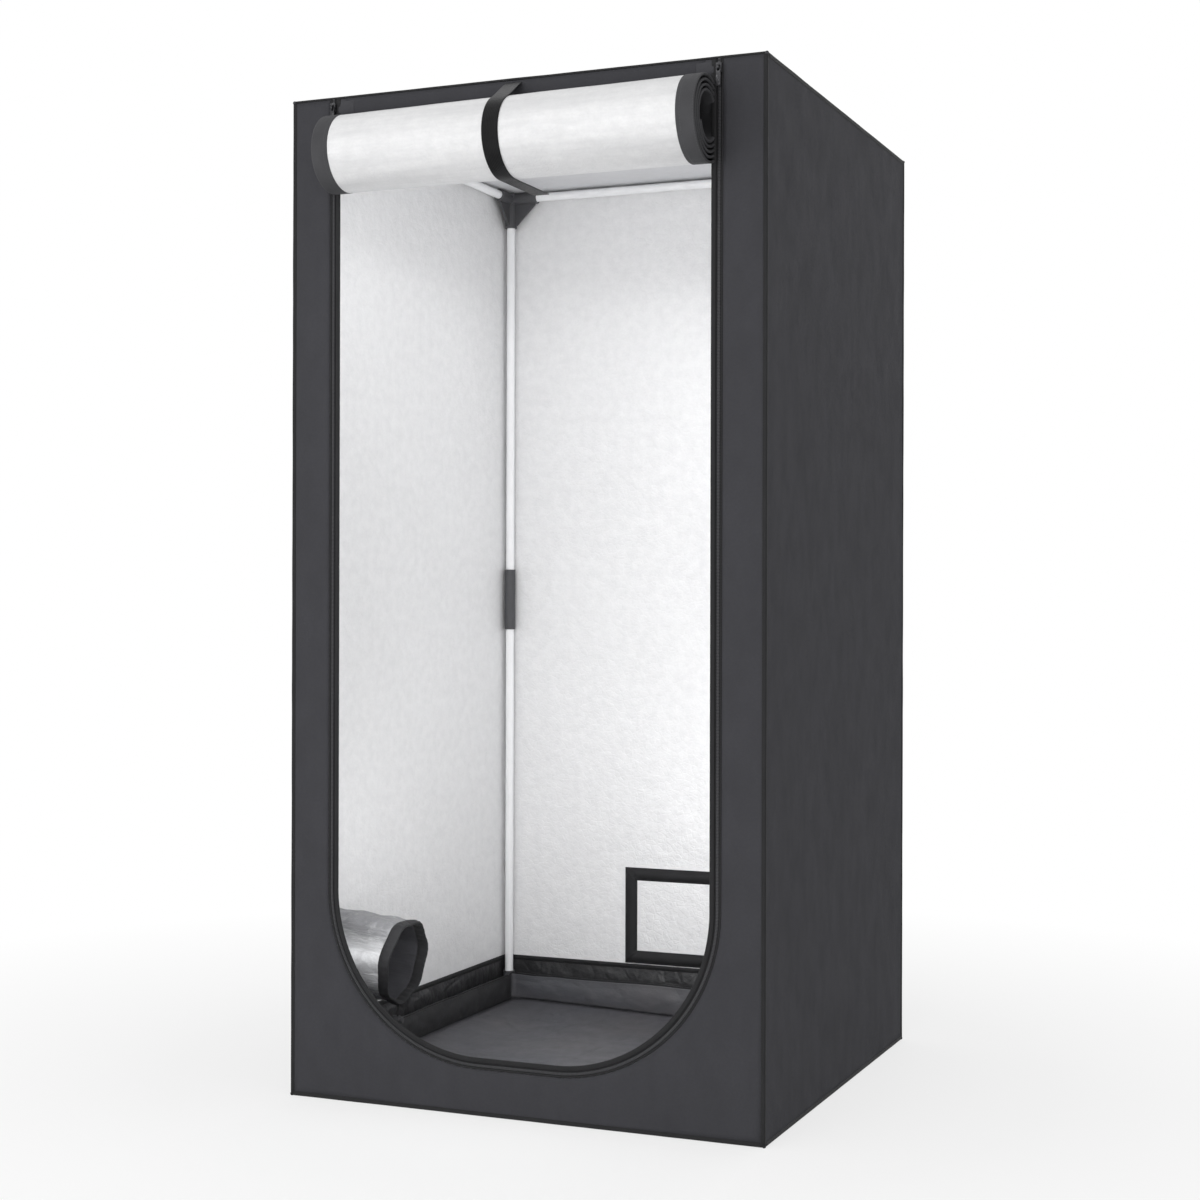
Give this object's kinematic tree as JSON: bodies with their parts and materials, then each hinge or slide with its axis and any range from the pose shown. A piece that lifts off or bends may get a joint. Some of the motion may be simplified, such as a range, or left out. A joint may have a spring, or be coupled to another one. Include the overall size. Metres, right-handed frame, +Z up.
{
  "type": "indoor grow tent",
  "caption": "Box-shaped indoor grow tent: white steel tube frame in a dark sewn cover with silver lining, its zipped front door rolled up under a strap.",
  "frame": {"origin": "centre of the floor's underside, under the middle of the tube frame", "axes": "+Z up along the uprights; the door faces -Y; +X is to the right as seen from the door"},
  "size_m": [0.8, 0.8909, 1.6],
  "materials": {
    "cover_cloth": "matt woven, dark grey outside and silver inside",
    "black_cloth": "matt",
    "silver_lining": "satin silver",
    "white_steel": "satin",
    "black_plastic": "matt",
    "black_webbing": "satin woven",
    "zip_metal": "satin black",
    "tray_cloth": "matt coated",
    "vent_net": "matt"
  },
  "bodies": {
    "tent": {"connector_front_left_top": "black_plastic", "connector_front_left_bottom": "black_plastic", "upright_front_left_lower": "white_steel", "upright_front_left_upper": "white_steel", "sleeve_front_left": "black_plastic", "connector_front_right_top": "black_plastic", "connector_front_right_bottom": "black_plastic", "upright_front_right_lower": "white_steel", "upright_front_right_upper": "white_steel", "sleeve_front_right": "black_plastic", "connector_back_left_top": "black_plastic", "connector_back_left_bottom": "black_plastic", "upright_back_left_lower": "white_steel", "upright_back_left_upper": "white_steel", "sleeve_back_left": "black_plastic", "connector_back_right_top": "black_plastic", "connector_back_right_bottom": "black_plastic", "upright_back_right_lower": "white_steel", "upright_back_right_upper": "white_steel", "sleeve_back_right": "black_plastic", "pole_top_front": "white_steel", "pole_top_back": "white_steel", "pole_top_left": "white_steel", "pole_top_right": "white_steel", "pole_bottom_front": "white_steel", "pole_bottom_back": "white_steel", "pole_bottom_left": "white_steel", "pole_bottom_right": "white_steel", "front_panel": "cover_cloth", "wall_left": "cover_cloth", "wall_right": "cover_cloth", "wall_back": "cover_cloth", "roof_panel": "cover_cloth", "floor_tub": "black_cloth", "spill_tray": "tray_cloth", "zip_tape": "black_cloth", "vent_mesh": "vent_net", "intake_sock": "silver_lining", "intake_rim": "black_cloth", "exhaust_sock": "silver_lining", "exhaust_rim": "black_cloth", "intake_string_left": "black_webbing", "intake_string_right": "black_webbing", "intake_lock_barrel": "black_plastic"},
    "door": {"door_roll": "silver_lining", "door_edge_left": "black_cloth", "door_edge_right": "black_cloth", "door_strap": "black_webbing"},
    "bar_front": {"hanging_bar_front": "white_steel", "bar_hook_front_left": "black_plastic", "bar_hook_front_right": "black_plastic"},
    "bar_rear": {"hanging_bar_rear": "white_steel", "bar_hook_rear_left": "black_plastic", "bar_hook_rear_right": "black_plastic"},
    "slider_left": {"zip_slider_left": "zip_metal"},
    "slider_right": {"zip_slider_right": "zip_metal"},
    "pull_left": {"zip_pull_left": "zip_metal"},
    "pull_right": {"zip_pull_right": "zip_metal"},
    "vent_flap": {"vent_flap": "silver_lining"},
    "lock_button": {"intake_lock_button": "black_plastic"}
  },
  "joints": [
    {"name": "door_swing", "type": "hinge", "parent": "tent", "child": "door", "pos_m": [0, -0.4, 1.5977], "axis": [-1, 0, 0], "range_deg": [0, 80]},
    {"name": "bar_front_slide", "type": "slide", "parent": "tent", "child": "bar_front", "axis": [0, 1, 0], "range_m": [-0.18, 0.1]},
    {"name": "bar_rear_slide", "type": "slide", "parent": "tent", "child": "bar_rear", "axis": [0, 1, 0], "range_m": [-0.1, 0.18]},
    {"name": "zip_left_run", "type": "slide", "parent": "tent", "child": "slider_left", "axis": [0, 0, -1], "range_m": [0, 1.235]},
    {"name": "zip_left_pull", "type": "hinge", "parent": "slider_left", "child": "pull_left", "pos_m": [-0.326, -0.4052, 1.5837], "axis": [-1, 0, 0], "range_deg": [0, 170]},
    {"name": "zip_right_run", "type": "slide", "parent": "tent", "child": "slider_right", "axis": [0, 0, -1], "range_m": [0, 1.235]},
    {"name": "zip_right_pull", "type": "hinge", "parent": "slider_right", "child": "pull_right", "pos_m": [0.326, -0.4052, 1.5837], "axis": [-1, 0, 0], "range_deg": [0, 170]},
    {"name": "vent_flap_swing", "type": "hinge", "parent": "tent", "child": "vent_flap", "pos_m": [0, 0.3957, 0.2855], "axis": [-1, 0, 0], "range_deg": [0, 165]},
    {"name": "lock_press", "type": "slide", "parent": "tent", "child": "lock_button", "axis": [-1, 0, 0], "range_m": [0, 0.003], "stiffness_N_per_m": 300}
  ]
}
